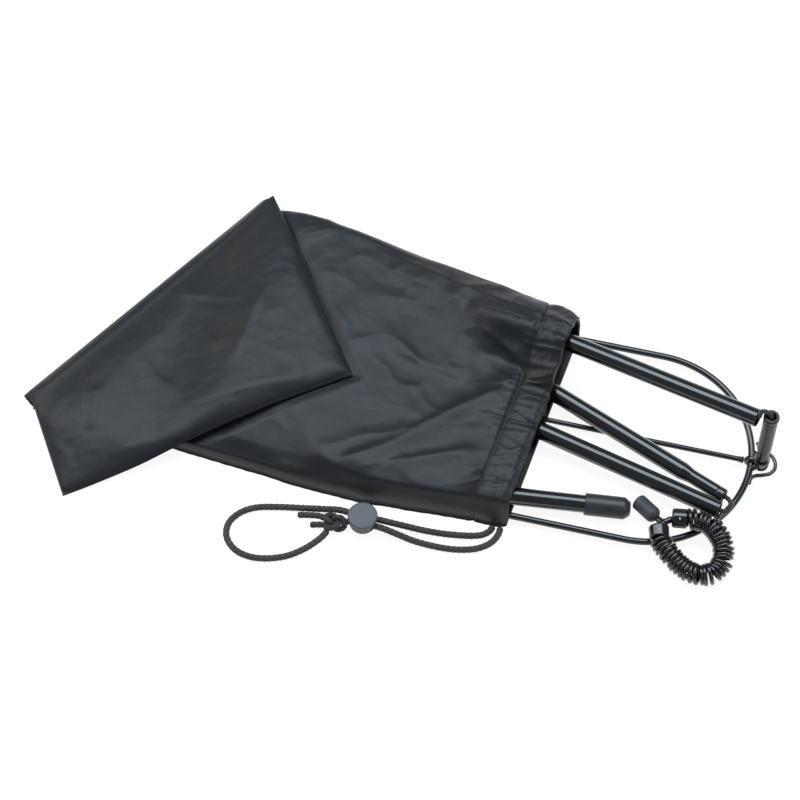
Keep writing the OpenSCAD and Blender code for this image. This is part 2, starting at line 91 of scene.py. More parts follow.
def new_mesh(name, points, faces, smooth=True):
    """A mesh object from points in millimetres."""
    mesh = bpy.data.meshes.new(name)
    mesh.from_pydata((np.asarray(points, float) * MM).tolist(), [], faces)
    mesh.update()
    if smooth:
        mesh.shade_smooth()
    obj = bpy.data.objects.new(name, mesh)
    scene.collection.objects.link(obj)
    return obj


def grid_faces(rows, cols, around=False):
    """Quads of a grid of points; around closes each row into a ring."""
    n = cols if around else cols - 1
    return [
        (i * cols + j, i * cols + (j + 1) % cols, (i + 1) * cols + (j + 1) % cols, (i + 1) * cols + j)
        for i in range(rows - 1)
        for j in range(n)
    ]


def distance_along(path):
    """Distance from the start of a path to each of its points."""
    return np.concatenate([[0], np.cumsum(np.linalg.norm(np.diff(path, axis=0), axis=1))])


def points_at(at, run, path):
    """Points of a path at the given distances along it."""
    return np.stack([np.interp(at, run, path[:, k]) for k in range(3)], axis=1)


def smooth_path(route, step):
    """A smooth curve through given points (millimetres), with points about a step apart."""
    r = np.array(route, float)
    p = np.concatenate([[2 * r[0] - r[1]], r, [2 * r[-1] - r[-2]]])
    out = []
    for i in range(1, len(p) - 2):
        a, b, c, d = p[i - 1 : i + 3]
        square = 2 * a - 5 * b + 4 * c - d
        cube = 3 * b - a - 3 * c + d
        for t in np.arange(0, 1, 1 / 16):
            out.append(0.5 * (2 * b + (c - a) * t + square * t * t + cube * t**3))
    out.append(p[-2])
    out = np.array(out)
    run = distance_along(out)
    return points_at(np.linspace(0, run[-1], max(2, int(round(run[-1] / step)) + 1)), run, out)


def path_frames(path):
    """Direction and two cross directions at each point of a path, with no twist."""
    d = np.gradient(path, axis=0)
    d /= np.linalg.norm(d, axis=1)[:, None]
    side = np.cross(d[0], (0, 0, 1))
    if np.linalg.norm(side) < 0.2:
        side = np.cross(d[0], (0, 1, 0))
    sides = []
    for v in d:
        side = side - v * (side @ v)
        side /= np.linalg.norm(side)
        sides.append(side)
    sides = np.array(sides)
    return d, sides, np.cross(d, sides)


def length_of(path):
    return float(np.linalg.norm(np.diff(path, axis=0), axis=1).sum())


def tube(name, path, radius, sides=16, relief=None, round_ends=True):
    """A tube along a path. relief(x, angle) is added to the radius, and kept as a point attribute."""
    _, a, b = path_frames(path)
    run = distance_along(path)
    angle = np.arange(sides) * 2 * pi / sides
    x, w = np.meshgrid(run, angle, indexing="ij")
    r = np.full(x.shape, float(radius))
    if relief:
        r = r + relief(x, w)
    if round_ends:
        end = np.minimum(x, run[-1] - x)
        r = r * np.sqrt(np.clip(0.3 + 0.7 * end / (radius * 0.6), 0, 1))
    outward = np.cos(w)[..., None] * a[:, None] + np.sin(w)[..., None] * b[:, None]
    points = (path[:, None] + r[..., None] * outward).reshape(-1, 3)
    points = np.concatenate([points, [path[0], path[-1]]])
    n = len(path)
    first, last = n * sides, n * sides + 1
    last_ring = (n - 1) * sides
    faces = grid_faces(n, sides, True)
    faces += [(j, (j + 1) % sides, first) for j in range(sides)]
    faces += [(last_ring + (j + 1) % sides, last_ring + j, last) for j in range(sides)]
    obj = new_mesh(name, points, faces)
    # The relief's height is kept as an attribute for the painted shade that the cord's material puts in its
    # hollows
    if relief:
        height = (r - r.min()) / max(r.max() - r.min(), 1e-6)
        values = np.concatenate([height.reshape(-1), [0.5, 0.5]]).astype(np.float32)
        obj.data.attributes.new("relief", "FLOAT", "POINT").data.foreach_set("value", values)
    return obj


def braid(pitch, strands, depth):
    """Relief of a round braid: two families of strands that pass over and under each other."""

    def relief(x, w):
        u = strands * w / (2 * pi) + x / pitch
        v = strands * w / (2 * pi) - x / pitch
        over = (np.floor(u) + np.floor(v)) % 2 < 1
        across = np.where(over, u - np.floor(u), v - np.floor(v)) - 0.5
        along = np.where(over, v - np.floor(v), u - np.floor(u)) - 0.5
        return depth * (1 - 3.4 * across**2 - 1.6 * along**2) - depth * 0.6

    return relief


# ---- Cords ----
CORD = 4.0
loop_route = [
    (74.5, -82.8, 2.5), (72.8, -87, 2.4), (69, -90.5, 2.3), (63.5, -92.5, 2.3), (56, -94, 2.3),
    (45, -95.5, 2.5), (32, -96.5, 3.4), (20, -97, 5), (8, -97.2, 6.2), (-2, -97, 6.3), (-12, -97, 6.3),
    (-22, -95.5, 5.2), (-34, -96.5, 3.4), (-48, -98.5, 2.4), (-62, -101, 2.2), (-75, -104.5, 2.2),
    (-84, -110.5, 2.2), (-89, -119, 2.2), (-88, -128.5, 2.2), (-81, -136, 2.2), (-71, -139, 2.2),
    (-60, -138, 2.2), (-48, -133.5, 2.2), (-38, -126, 2.4), (-30, -117, 3.2), (-26.5, -110.5, 4),
]
strand_route = [
    (79.2, -82.8, 2.5), (78.6, -88.5, 2.4), (76, -94, 2.3), (71, -98.8, 2.3), (64, -102.3, 2.3),
    (53, -104.8, 2.3), (41, -105.4, 2.3), (28, -105, 3), (16, -103.6, 5), (6, -102.3, 6.2), (-2, -102, 6.3),
    (-12, -102, 6.3), (-17.6, -103.5, 5.6),
]
tail_route_a = [
    (-26, -105, 5.2), (-30, -103.2, 4.6), (-34, -101.8, 3.6), (-40, -102, 2.6), (-48, -103.5, 2.2),
]
tail_route_b = [(-26, -107.5, 5), (-30, -107.6, 4.2), (-33, -107.6, 3.2), (-38.5, -108.5, 2.2)]
coil_route = [
    (193, -57, 16), (200, -56.4, 16.5), (207, -57.8, 16), (213, -61.5, 14.4), (217.5, -67, 12.2),
    (219.6, -73.5, 10.2), (219, -80.5, 8.7), (215.5, -86, 8), (210, -89, 7.8), (203.5, -89.4, 7.8),
    (197, -87.3, 8.4), (190.8, -84, 10), (185, -80.2, 12.2), (180.6, -76.6, 14.2), (178.6, -74.2, 15.2),
]
cord_braid = braid(3.4, 6, 0.45)


def fray(path, reach):
    """Relief of a braid that opens out at its cut end."""
    total = length_of(path)

    def relief(x, w):
        near = ease((x - total + reach) / reach)
        return cord_braid(x, w) + near * (0.25 + 0.3 * np.sin(w * 5 + 1) * np.sin(w * 3 + x))

    return relief


loop_path = smooth_path(loop_route, 0.25)
strand_path = smooth_path(strand_route, 0.25)
tail_a = smooth_path(tail_route_a, 0.4)
tail_b = smooth_path(tail_route_b, 0.4)
loop = tube("drawcord_loop_braid", loop_path, CORD / 2, 40, cord_braid)
strand = tube("drawcord_strand_braid", strand_path, CORD / 2, 40, cord_braid)
tails = [
    tube("drawcord_tail_a", tail_a, CORD / 2 - 0.1, 32, fray(tail_a, 3)),
    tube("drawcord_tail_b", tail_b, CORD / 2 - 0.1, 32, fray(tail_b, 3)),
]
turn = np.linspace(0, 2 * pi, 121)
knot_path = np.stack(
    [
        -23.6 + 2.45 * (2 + np.cos(3 * turn)) * np.cos(2 * turn) * 0.92,
        -105.2 + 1.95 * (2 + np.cos(3 * turn)) * np.sin(2 * turn) * 0.88,
        5.7 + 2.3 * np.sin(3 * turn),
    ],
    axis=1,
)
knot = tube("drawcord_knot_braid", smooth_path(knot_path[:-1:2].tolist() + [knot_path[0].tolist()], 0.4),
            CORD / 2 - 0.15, 28, cord_braid, round_ends=False)

# The tether: one cord wound on the line of the coil
WIRE = 2.7
TURNS = 33
POINTS_PER_TURN = 22
coil_line = smooth_path(coil_route, 0.15)
line_along, line_side, line_up = path_frames(coil_line)
s = np.linspace(0, 1, len(coil_line))
wobble = np.array([noise.noise((v * 23, 3.1, 0)) for v in s])
uneven = np.array([noise.noise((v * 31, 9.7, 0)) for v in s])
wind = 2 * pi * TURNS * s + 1.8 * wobble + 0.6
reach = (5.75 + 0.8 * uneven) * np.sqrt(np.clip(np.minimum(s, 1 - s) * TURNS * 1.4 + 0.45, 0, 1))
slump = 0.7 * np.cos(wind + 1.2 + 3 * uneven) + 0.5 * uneven
around = np.cos(wind)[:, None] * line_side + np.sin(wind)[:, None] * line_up
dense_coil = coil_line + reach[:, None] * around + slump[:, None] * line_along
coil_run = distance_along(dense_coil)
coil_path = points_at(np.linspace(0, coil_run[-1], TURNS * POINTS_PER_TURN + 1), coil_run, dense_coil)
coil = tube("tether_winding", coil_path, WIRE / 2, 12)


# ---- Materials ----
def material(name, colour, rough, specks=0.25, scale=90.0, bump=0.1, distance=0.0002, **constants):
    """A procedural surface: tone and roughness vary with noise, and a finer noise gives the grain."""
    m = bpy.data.materials.new(name)
    m.use_nodes = True
    tree = m.node_tree
    bsdf = tree.nodes["Principled BSDF"]
    for key, value in constants.items():
        bsdf.inputs[key.replace("_", " ")].default_value = value
    coords = tree.nodes.new("ShaderNodeTexCoord").outputs["Object"]
    wide = tree.nodes.new("ShaderNodeTexNoise")
    wide.inputs["Scale"].default_value = scale
    wide.inputs["Detail"].default_value = 5
    fine = tree.nodes.new("ShaderNodeTexNoise")
    fine.inputs["Scale"].default_value = scale * 14
    fine.inputs["Detail"].default_value = 3
    for n in (wide, fine):
        tree.links.new(coords, n.inputs["Vector"])
    ramp = tree.nodes.new("ShaderNodeValToRGB")
    low, high = ramp.color_ramp.elements
    low.position, high.position = 0.3, 0.7
    low.color = (*[c * (1 - specks) for c in colour], 1)
    high.color = (*[min(1, c * (1 + specks)) for c in colour], 1)
    tree.links.new(wide.outputs["Fac"], ramp.inputs["Fac"])
    tree.links.new(ramp.outputs["Color"], bsdf.inputs["Base Color"])
    span = tree.nodes.new("ShaderNodeMapRange")
    span.inputs["To Min"].default_value = rough * 0.8
    span.inputs["To Max"].default_value = min(1, rough * 1.2)
    tree.links.new(wide.outputs["Fac"], span.inputs["Value"])
    tree.links.new(span.outputs["Result"], bsdf.inputs["Roughness"])
    grain = tree.nodes.new("ShaderNodeBump")
    grain.inputs["Strength"].default_value = bump
    grain.inputs["Distance"].default_value = distance
    tree.links.new(fine.outputs["Fac"], grain.inputs["Height"])
    tree.links.new(grain.outputs["Normal"], bsdf.inputs["Normal"])
    return m


def add_weave(m, per_metre, depth, turn_deg):
    """Adds warp and weft threads to a material's bump."""
    tree = m.node_tree
    coords = tree.nodes.new("ShaderNodeTexCoord").outputs["Object"]
    turn_node = tree.nodes.new("ShaderNodeMapping")
    turn_node.inputs["Rotation"].default_value = (0, 0, radians(turn_deg))
    tree.links.new(coords, turn_node.inputs["Vector"])
    total = None
    for direction in ("X", "Y"):
        wave = tree.nodes.new("ShaderNodeTexWave")
        wave.bands_direction = direction
        wave.inputs["Scale"].default_value = per_metre / 20 * pi
        wave.inputs["Distortion"].default_value = 0.6
        wave.inputs["Detail"].default_value = 1
        tree.links.new(turn_node.outputs["Vector"], wave.inputs["Vector"])
        if total is None:
            total = wave.outputs["Fac"]
        else:
            add = tree.nodes.new("ShaderNodeMath")
            tree.links.new(total, add.inputs[0])
            tree.links.new(wave.outputs["Fac"], add.inputs[1])
            total = add.outputs[0]
    bump = tree.nodes.new("ShaderNodeBump")
    bump.inputs["Strength"].default_value = 0.35
    bump.inputs["Distance"].default_value = depth
    tree.links.new(total, bump.inputs["Height"])
    old = next(n for n in tree.nodes if n.type == "BUMP" and n != bump)
    tree.links.new(bump.outputs["Normal"], old.inputs["Normal"])
    return m


def colour_ramp(m):
    """The ramp that sets a material's colour."""
    return next(n for n in m.node_tree.nodes if n.type == "VALTORGB")


nylon = material("nylon_cloth", (0.012, 0.014, 0.0165), 0.44, 0.16, 22, 0.25, 0.0002,
                 Sheen_Weight=0.04, Sheen_Roughness=0.4, Specular_IOR_Level=0.34)
low, high = colour_ramp(nylon).color_ramp.elements
low.color, high.color = (0.0088, 0.0115, 0.0158, 1), (0.0152, 0.0152, 0.0155, 1)
add_weave(nylon, 2400, 0.00008, 8)
thread = material("seam_thread", (0.012, 0.013, 0.015), 0.6, 0.3, 400, 0.3, 0.0001, Sheen_Weight=0.2)
cord_mat = material("braided_cord", (0.019, 0.0175, 0.0165), 0.6, 0.35, 500, 0.5, 0.0001,
                    Sheen_Weight=0.12, Sheen_Roughness=0.5)
# Painted shade: the cord's hollows are coloured darker than the backs of its strands, by the height of the
# braid's relief
painted_hollow_shade = cord_mat.node_tree.nodes.new("ShaderNodeAttribute")
painted_hollow_shade.attribute_name = "relief"
cord_ramp = colour_ramp(cord_mat)
low, high = cord_ramp.color_ramp.elements
low.position, high.position = 0.35, 0.8
low.color, high.color = (0.003, 0.003, 0.003, 1), (0.03, 0.026, 0.024, 1)
cord_mat.node_tree.links.new(painted_hollow_shade.outputs["Fac"], cord_ramp.inputs["Fac"])
elastic = material("elastic_braid", (0.02, 0.02, 0.022), 0.7, 0.3, 500, 0.4, 0.0001, Sheen_Weight=0.2)
wire_mat = material("black_wire", (0.008, 0.009, 0.01), 0.17, 0.3, 60, 0.05, 0.0001,
                    Coat_Weight=0.5, Coat_Roughness=0.08)
tube_mat = material("black_tube", (0.008, 0.009, 0.01), 0.14, 0.3, 45, 0.04, 0.0001,
                    Coat_Weight=0.6, Coat_Roughness=0.06)
spigot_mat = material("spigot_grey", (0.009, 0.01, 0.012), 0.24, 0.2, 70, 0.1, 0.0001, Specular_IOR_Level=0.3)
rubber = material("black_rubber", (0.026, 0.028, 0.032), 0.4, 0.15, 120, 0.25, 0.0001, Specular_IOR_Level=0.5)
boot_mat = material("boot_rubber", (0.038, 0.042, 0.048), 0.55, 0.15, 160, 0.4, 0.00012)
gloss = material("gloss_black", (0.007, 0.007, 0.008), 0.16, 0.3, 150, 0.12, 0.0001,
                 Coat_Weight=0.5, Coat_Roughness=0.08)
lock_mat = material("lock_plastic", (0.075, 0.085, 0.098), 0.5, 0.12, 140, 0.45, 0.00012)
lock_body = material("lock_body_plastic", (0.05, 0.053, 0.058), 0.5, 0.12, 140, 0.45, 0.00012)
steel = material("spring_steel", (0.5, 0.5, 0.52), 0.3, 0.1, 200, 0.1, 0.0001, Metallic=1.0)


def dress(obj, m):
    obj.data.materials.clear()
    obj.data.materials.append(m)
    return obj


def finish_node(name, m):
    """Gives a carried-over CAD node its material."""
    obj = nodes[name]
    if obj.material_slots:
        for s in obj.material_slots:
            s.material = m
    else:
        obj.data.materials.append(m)


for name in ("hoop_wire_front", "hoop_wire_rear", "centre_stay", "stay_eye", "spigot_bracket"):
    finish_node(name, wire_mat)
for i in range(1, 5):
    finish_node(f"pole_section_{i}", tube_mat)
    finish_node(f"shock_cord_{i}", elastic)
finish_node("spigot_post", spigot_mat)
finish_node("spigot_tube", spigot_mat)
finish_node("tip_sleeve", rubber)
finish_node("tether_boot", boot_mat)
for name in ("tether_link", "tether_collar_a", "tether_collar_b"):
    finish_node(name, gloss)
finish_node("lock_barrel", lock_body)
finish_node("lock_button", lock_mat)
finish_node("lock_spring", steel)
finish_node("hem_cord_run", cord_mat)

for obj in (loop, strand, knot, *tails):
    dress(obj, cord_mat)
    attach(obj, "root")
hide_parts("drawcord_loop")
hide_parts("drawcord_strand")
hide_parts("drawcord_knot")
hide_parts("drawcord_tails")
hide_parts("drawcord_tails")
dress(coil, gloss)
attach(coil, "tether")
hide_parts("tether_coil")


# ---- Elastic links between the pole sections, and the clip ----
spigot_link_route = [
    (217, 3.2, 55.9), (220.6, 2.1, 56.9), (223.9, 1, 59.4), (224.4, 0.8, 63.5), (225.2, 0.5, 67.2),
    (227.8, -0.2, 68.7), (230.6, -0.9, 67.6), (231.5, -1, 64.5), (231.5, -1, 60),
]
inner_link_route = [
    (-56, 88.6, 10.8), (-62, 90.6, 10.2), (-67, 92, 10.3), (-72.5, 91.8, 11.2), (-75.8, 88.2, 12.6),
    (-74.6, 84.2, 13.7), (-70.5, 81.8, 14.2), (-65, 79.5, 14.4), (-60.3, 77.6, 14.4),
]
outer_link_route = [
    (209.5, -32.5, 12.6), (213, -33.9, 12.6), (216, -35.6, 12.8), (217.8, -38.8, 13.2),
    (217.4, -42.6, 13.7), (214.6, -45.4, 14.1), (208.6, -44.1, 14.1),
]
tip_link_route = [
    (-76.2, 27, 13.1), (-82, 28.4, 13), (-89.5, 28.4, 12.9), (-96, 23.5, 12.8), (-97.8, 14, 12.8),
    (-95, 4, 12.6), (-87, -8, 12.6), (-72, -22, 12.8), (-48, -43, 13.2), (-24, -62, 13.8), (-8, -72, 14.4),
    (4, -75.4, 14.6), (12, -75, 14.5), (18, -74, 14.3),
]
link_braid = braid(2.4, 6, 0.2)
for name, route in (("spigot", spigot_link_route), ("inner", inner_link_route), ("outer", outer_link_route),
                    ("tip", tip_link_route)):
    link = tube(f"elastic_link_{name}", smooth_path(route, 0.35), 1.45, 24, link_braid)
    dress(link, elastic)
    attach(link, "frame")
    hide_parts(f"shock_link_{name}")

clip_route = [
    (226.5, 15.5, 1.9), (229.5, 12.5, 1.9), (233.5, 10, 1.9), (238, 7.3, 1.9), (240.6, 3, 1.9),
    (240.75, -1.5, 1.9), (238.3, -5.2, 1.9), (233.8, -7.4, 1.9), (229.4, -9, 1.9),
    (227, -11.8, 1.9), (226.8, -16, 1.9),
]
clip = tube("clip_wire_bent", smooth_path(clip_route, 0.8), 1.25, 16)
dress(clip, wire_mat)
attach(clip, "clip")
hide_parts("wire_clip")


# ---- Pole sections, sleeve, spigot and boot ----
def lathe(name, profile, start, direction, sides=40):
    """A turned shape: profile is (along, radius) pairs from a start point in a direction."""
    d = np.array(direction, float)
    d /= np.linalg.norm(d)
    a = np.cross(d, (0, 0, 1))
    a = a / np.linalg.norm(a) if np.linalg.norm(a) > 0.1 else np.array((1.0, 0, 0))
    b = np.cross(d, a)
    w = np.arange(sides) * 2 * pi / sides
    points = [np.array(start) + d * x + r * (np.cos(t) * a + np.sin(t) * b) for x, r in profile for t in w]
    return new_mesh(name, points, grid_faces(len(profile), sides, True))


def bead_profile(r, size, steps=9):
    """The half-round section of a weld bead, size high, on a rod of radius r."""
    angles = [pi * k / (steps - 1) for k in range(steps)]
    return [(-size * cos(w), r + size * sin(w)) for w in angles]


def pole_direction(turn_deg, drop_deg):
    """Inward direction of a pole section, turned in plan and dropping towards its inner end."""
    t, q = radians(180 - turn_deg), radians(drop_deg)
    return np.array((cos(q) * cos(t), cos(q) * sin(t), -sin(q)))


def supported(profile, near=0.35):
    """Adds points beside the ends of long stretches, so that smooth shading stays at the edges."""
    out = []
    for (x0, r0), (x1, r1) in zip(profile, profile[1:]):
        size = sqrt((x1 - x0) ** 2 + (r1 - r0) ** 2)
        out.append((x0, r0))
        if size > 3 * near:
            for q in (near / size, 1 - near / size):
                out.append((mix(x0, x1, q), mix(r0, r1, q)))
    return out + [profile[-1]]


def turned_piece(name, profile, start, direction, m, body, node, sides=56):
    obj = lathe(name, supported(profile), start, direction, sides)
    obj.data.set_sharp_from_angle(angle=radians(38))
    dress(obj, m)
    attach(obj, body)
    if node:
        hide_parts(node)
    return obj


TUBE_R, BORE_R, TIP_R = 5.75, 4.75, 4.6
TIP_BORE_R, GROOVE_R, LENGTH = 3.6, 4.45, 300
plain = [(0, BORE_R), (0, TUBE_R - 0.15), (0.15, TUBE_R), (269, TUBE_R), (275, TIP_R), (LENGTH, TIP_R),
         (LENGTH, TIP_BORE_R), (275, TIP_BORE_R), (269, BORE_R), (0, BORE_R)]
swaged = [(0, TIP_BORE_R), (0, 4.2), (0.8, TIP_R), (4.6, TIP_R), (4.8, GROOVE_R), (5.4, GROOVE_R),
          (5.6, TIP_R), (25, TIP_R), (31, TUBE_R), (LENGTH, TUBE_R), (LENGTH, BORE_R), (31, BORE_R),
          (25, TIP_BORE_R), (0, TIP_BORE_R)]
short = [(4, BORE_R), (4, TUBE_R), (145, TUBE_R), (145, BORE_R), (4, BORE_R)]
SLEEVE_START, SLEEVE_DIRECTION = (156.5, -54, 8), pole_direction(-7.5, -2.58)
pole_places = (
    ((223.5, 1.1, 57), pole_direction(17.4, 8.95), plain),
    ((212.9, -33.9, 12.6), pole_direction(22.2, -0.35), swaged),
    ((211.5, -44.8, 14.1), pole_direction(14, 0.2), plain),
    (SLEEVE_START, SLEEVE_DIRECTION, short),
)
for i, (start, direction, profile) in enumerate(pole_places, 1):
    turned_piece(f"pole_tube_{i}", profile, start, direction, tube_mat,
                 f"pole_{i}", f"pole_section_{i}", 64)
cap_profile = [(0, 0.01), (0, 3.9), (0.35, 4.6), (3.2, 6.75), (4.4, 7.1), (28.4, 7.1), (29, 6.6), (29, 5.8),
               (3.8, 5.8), (3.8, 1.6)]
turned_piece("tip_cap", cap_profile, SLEEVE_START, SLEEVE_DIRECTION, rubber,
             "sleeve", "tip_sleeve")
SPIGOT, UP = (231.5, -1, 0), (0, 0, 1)
foot_profile = [(1, 0.01), (1, 2.3), (1.3, 3.1), (2, 3.75), (2.8, 3.95), (23, 3.95), (23, 0.01)]
turned_piece("spigot_foot", foot_profile, SPIGOT, UP, spigot_mat, "frame", "spigot_post")
barrel_profile = [(23, 0.01), (23, 3.95), (25, 4.35), (25.6, 4.65), (60.3, 4.65), (60.5, 4.5), (60.9, 4.5),
                  (61.1, 4.65), (62.6, 4.65), (63, 4.95), (63.5, 5.05), (65.2, 5.05), (65.7, 4.9),
                  (66, 4.55), (66, 3.2), (65.7, 2.9), (30, 2.9), (30, 0.01)]
turned_piece("spigot_barrel", barrel_profile, SPIGOT, UP, spigot_mat, "frame", "spigot_tube")
BOOT_START, BOOT_END = np.array((160.8, -48.4, 9.5)), np.array((174.6, -59.6, 13.2))
boot_profile = [(0, 0.01), (0, 4.95), (0.2, 5.2), (0.5, 5.3), (13.6, 5.3), (14.9, 4.95), (16.2, 3.9),
                (16.9, 2.9), (17.6, 2.2), (17.6, 0.01)]
turned_piece("tether_boot_moulded", boot_profile, BOOT_START, BOOT_END - BOOT_START, boot_mat,
             "tether", "tether_boot")
neck_route = [
    (174.2, -59.3, 13.1), (176.6, -61.2, 14.2), (179, -62.2, 15.1), (181.5, -60.6, 15.5), (184, -58.4, 15.6),
]
fork_route = [(179.6, -61.6, 15.2), (178.4, -63.6, 15.4), (177, -66.2, 15.6)]
knuckle = [
    tube("tether_neck", smooth_path(neck_route, 0.5), 2.2, 20),
    tube("tether_fork", smooth_path(fork_route, 0.5), 2.4, 20),
]
for obj in knuckle:
    dress(obj, gloss)
    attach(obj, "tether")
    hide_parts("tether_link")


# ---- Frame ----
def straight(a, b):
    """Points about 4 mm apart from a to b."""
    count = max(2, int(np.linalg.norm(np.subtract(b, a)) / 4))
    return np.concatenate([np.linspace(a, b, count, endpoint=False), np.array([b], float)])


def arc(centre, r, a0, a1, z, count):
    w = np.radians(np.linspace(a0, a1, count))
    return np.stack([centre[0] + r * np.cos(w), centre[1] + r * np.sin(w), np.full(count, z)], axis=1)


HOOP_Z = 5.75
front = np.concatenate([
    straight((40, -74.8, HOOP_Z), (156, -74.8, HOOP_Z)),
    arc((156.5, -6), 68.8, -90, 90, HOOP_Z, 97),
    straight((156, 62.8, HOOP_Z), (40, 62.8, HOOP_Z)),
])
rear = np.concatenate([
    straight((40, 62.8, HOOP_Z), (-85, 62.8, HOOP_Z)),
    arc((-86, 48.8), 14, 90, 180, HOOP_Z, 17),
    straight((-100, 48, HOOP_Z), (-100, -60, HOOP_Z)),
    arc((-86, -60.8), 14, 180, 270, HOOP_Z, 17),
    straight((-85, -74.8, HOOP_Z), (40, -74.8, HOOP_Z)),
])
wires = (
    ("hoop_front", front, 2.25, "hoop_wire_front"),
    ("hoop_rear", rear, 2.25, "hoop_wire_rear"),
    ("stay_rod", straight((-97.75, -1, 5.2), (220.5, -1, 5.2)), 1.75, "centre_stay"),
)
for name, path, radius, node in wires:
    wire = tube(name, path, radius, 32, round_ends=False)
    dress(wire, wire_mat)
    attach(wire, "frame")
    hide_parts(node)
eye_profile = [(-2, 2.4), (-2, 3.5), (-1.6, 4.2), (-0.9, 4.5), (0.9, 4.5), (1.6, 4.2), (2, 3.5), (2, 2.4),
               (-2, 2.4)]
turned_piece("stay_ring", eye_profile, (225.1, -1, HOOP_Z), (0, 1, 0), wire_mat,
             "frame", "stay_eye")
strap_profile = [(3.7, 3.96), (3.7, 4.7), (4.1, 5.1), (4.8, 5.25), (11.2, 5.25), (11.9, 5.1), (12.3, 4.7),
                 (12.3, 3.96), (3.7, 3.96)]
turned_piece("bracket_strap", strap_profile, SPIGOT, UP, wire_mat, "frame", "spigot_bracket")
for label, side in (("far", 1), ("near", -1)):
    stub_route = [
        (224.4, -1 + 6.4 * side, 5.9), (226.4, -1 + 5.4 * side, 6.3),
        (228.6, -1 + 3.6 * side, 7.2), (229.8, -1 + 2.2 * side, 8),
    ]
    stub = tube(f"bracket_weld_{label}", smooth_path(stub_route, 0.4), 2.1, 20)
    dress(stub, wire_mat)
    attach(stub, "frame")
    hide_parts("spigot_bracket")

# Weld beads at the stay's eye
for i, (x, size) in enumerate(((217.6, 0.55), (219.4, 0.75))):
    bead = lathe(f"stay_weld_{i}", bead_profile(1.65, size), (x, -1, 5.2), (1, 0, 0), 28)
    dress(bead, wire_mat)
    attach(bead, "frame")

# The two collars of the tether, each with the head of a pin
pin_profile = [(-0.6, 0.01), (-0.6, 0.75), (0.1, 0.75), (0.25, 0.62), (0.3, 0.01)]
collars = (
    ("a", np.array((176.4, -65.9, 15.6)), np.array((178.6, -74, 15.3)), 6.5),
    ("b", np.array((183.4, -58.2, 15.6)), np.array((192.8, -57, 16)), 6.2),
)
for label, start, end, radius in collars:
    size = float(np.linalg.norm(end - start))
    along = (end - start) / size
    collar_profile = [(0, 0.01), (0, radius - 1.2), (0.35, radius - 0.55), (1.2, radius),
                      (size - 0.5, radius), (size, radius - 0.4), (size, 0.01)]
    turned_piece(f"collar_{label}", collar_profile, start, along, gloss, "tether",
                 f"tether_collar_{label}")
    up = np.array((0.12, -0.5, 0.86))
    up -= along * (up @ along)
    up /= np.linalg.norm(up)
    pin = lathe(f"collar_pin_{label}", pin_profile, start + along * 5 + up * radius, up, 20)
    dress(pin, steel)
    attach(pin, "tether")

# ---- Bag ----
CLOTH = 0.6
HEM_WIDTH = 20.0
FOLD_R = 4.2
fold_far, fold_near = np.array((-128.5, 123.5)), np.array((-242, -61))
mouth_near, mouth_far = np.array((81, -78.5)), np.array((98.4, 73))
flap_far, flap_near = np.array((-35.5, -7.5)), np.array((-197.5, -123.5))
fold_dir = (fold_far - fold_near) / np.linalg.norm(fold_far - fold_near)
fold_in = np.array((fold_dir[1], -fold_dir[0]))
PANEL_START = 2 * FOLD_R + 0.2
PANEL_LENGTH = 300.0


def along_lines(a0, a1, b0, b1, s, t):
    """Points between two lines: s from the first to the second, t along both."""
    s, t = s[..., None], t[..., None]
    return mix(mix(a0, a1, t), mix(b0, b1, t), s)


def panel_xy(s, t):
    """Plan of the main panel: s runs from the fold to the hem, t from the near side to the far side."""
    step = fold_in * PANEL_START
    hem = (HEM_WIDTH, 0)
    p = along_lines(fold_near + step, fold_far + step, mouth_near - hem, mouth_far - hem, s, t)
    far_bow = (24 * s * (1 - s) - 7 * (1 - s) ** 12) * t
    near_bow = 6.75 * 7 * s * s * (1 - s) * (1 - t)
    p[..., 1] += far_bow - near_bow
    return p


def hem_xy(w, t):
    """Plan of the hem, w millimetres from its seam; its far corner is drawn in a little."""
    p = mix(mouth_near, mouth_far, t[..., None])
    p[..., 0] -= HEM_WIDTH - w
    p[..., 1] -= 5.5 * (w / HEM_WIDTH) ** 2 * ease((t - 0.72) / 0.28)
    return p


def ridge_z(p):
    """Height of the roof that the first pole section holds up."""
    q = radians(17.4)
    off = (p[..., 0] - 223.5) * sin(q) + (p[..., 1] - 1.1) * cos(q)
    run = -(p[..., 0] - 223.5) * cos(q) + (p[..., 1] - 1.1) * sin(q)
    slope = np.where(off > 0, 0.5, mix(0.32, 0.75, ease((p[..., 0] - 25) / 35)))
    return 57 - run * tan(radians(8.95)) + 6.55 - slope * np.maximum(0, np.abs(off) - 5)


def base_z(p):
    """Height of the roof away from that section."""
    return 4.6 + 17 * ease((p[..., 0] + 150) / 60)


def side_z(p, edge):
    """Height that the roof may have this far from its nearer side."""
    root = np.sqrt(edge)
    low = np.maximum(0, soft_min(7 * root, 9 + 0.28 * edge, 1))
    near = mix(low, 10 * root, ease((p[..., 0] + 75) / 85))
    return np.where(p[..., 1] < 0, near, mix(6.5, 12, ease((p[..., 0] + 20) / 80)) * root)


def roof_z(p, edge):
    roof = soft_max(base_z(p), ridge_z(p), 2)
    return CLOTH + soft_min(roof, side_z(p, edge), 2.2 * np.minimum(1, edge / 4))


def normals(g):
    du, dv = np.gradient(g, axis=0), np.gradient(g, axis=1)
    n = np.cross(du, dv)
    n /= np.maximum(np.linalg.norm(n, axis=2), 1e-9)[..., None]
    return np.where(n[..., 2:] < 0, -n, n)


